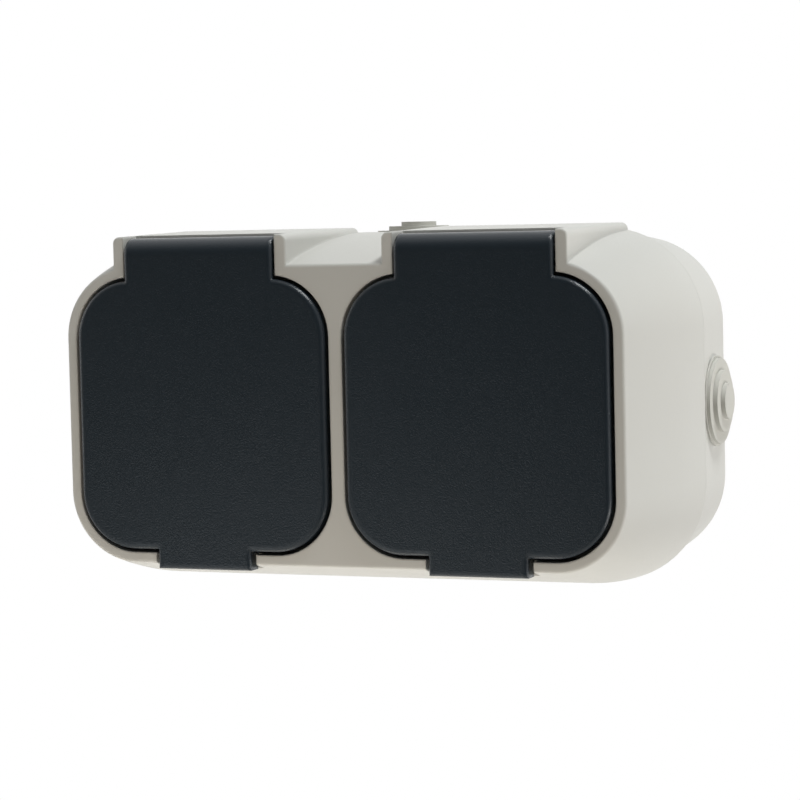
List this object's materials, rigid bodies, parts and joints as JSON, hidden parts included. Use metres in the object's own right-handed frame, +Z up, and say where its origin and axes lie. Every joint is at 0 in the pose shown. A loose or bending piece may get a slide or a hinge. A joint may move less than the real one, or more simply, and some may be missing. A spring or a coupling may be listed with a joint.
{
  "type": "outdoor weatherproof socket",
  "caption": "Surface-mounted splash-proof socket: grey moulded housing with swelling sides, sprung dark lids on hinge towers, round plug wells with earth clips, stepped cable grommets.",
  "frame": {"origin": "centre of the wall face, midway between the sockets and at their height", "axes": "+X to the right along the sockets' row, +Y into the wall, +Z up"},
  "size_m": [0.151, 0.0665, 0.0828],
  "materials": {
    "housing_grey": "fine satin mould texture",
    "lid_anthracite": "fine grained",
    "insert_dark": "smooth satin",
    "carrier_white": "smooth satin",
    "seal_rubber": "matte",
    "grommet_grey": "matte",
    "plated_steel": "zinc plated",
    "contact_brass": "plain"
  },
  "bodies": {
    "housing": {"base_box": "housing_grey", "front_cover": "housing_grey", "cover_seal": "seal_rubber", "cover_screws": "plated_steel", "left_hinge_pin": "plated_steel", "right_hinge_pin": "plated_steel", "left_lid_spring": "plated_steel", "right_lid_spring": "plated_steel", "left_socket_cup": "insert_dark", "right_socket_cup": "insert_dark", "left_cup_seal": "seal_rubber", "right_cup_seal": "seal_rubber", "left_earth_clip": "plated_steel", "right_earth_clip": "plated_steel", "left_line_contact": "contact_brass", "right_line_contact": "contact_brass", "left_neutral_contact": "contact_brass", "right_neutral_contact": "contact_brass", "left_contact_carrier": "carrier_white", "right_contact_carrier": "carrier_white", "line_busbar": "contact_brass", "neutral_busbar": "contact_brass", "earth_busbar": "contact_brass", "terminal_block": "carrier_white", "terminal_clamps": "contact_brass", "terminal_screws": "plated_steel", "carrier_screws": "plated_steel", "cup_screws": "plated_steel", "left_grommet": "grommet_grey", "right_grommet": "grommet_grey", "top_grommet": "grommet_grey"},
    "left_lid": {"left_lid": "lid_anthracite", "left_lid_seal": "seal_rubber"},
    "right_lid": {"right_lid": "lid_anthracite", "right_lid_seal": "seal_rubber"}
  },
  "joints": [
    {"name": "left_lid_hinge", "type": "hinge", "parent": "housing", "child": "left_lid", "pos_m": [-0.033, -0.0627, 0.0364], "axis": [-1, 0, 0], "range_deg": [0, 110], "stiffness_Nm_per_rad": 0.012, "springref_deg": -51.57, "deforming": ["left_lid_spring"]},
    {"name": "right_lid_hinge", "type": "hinge", "parent": "housing", "child": "right_lid", "pos_m": [0.033, -0.0627, 0.0364], "axis": [-1, 0, 0], "range_deg": [0, 110], "stiffness_Nm_per_rad": 0.012, "springref_deg": -51.57, "deforming": ["right_lid_spring"]}
  ]
}
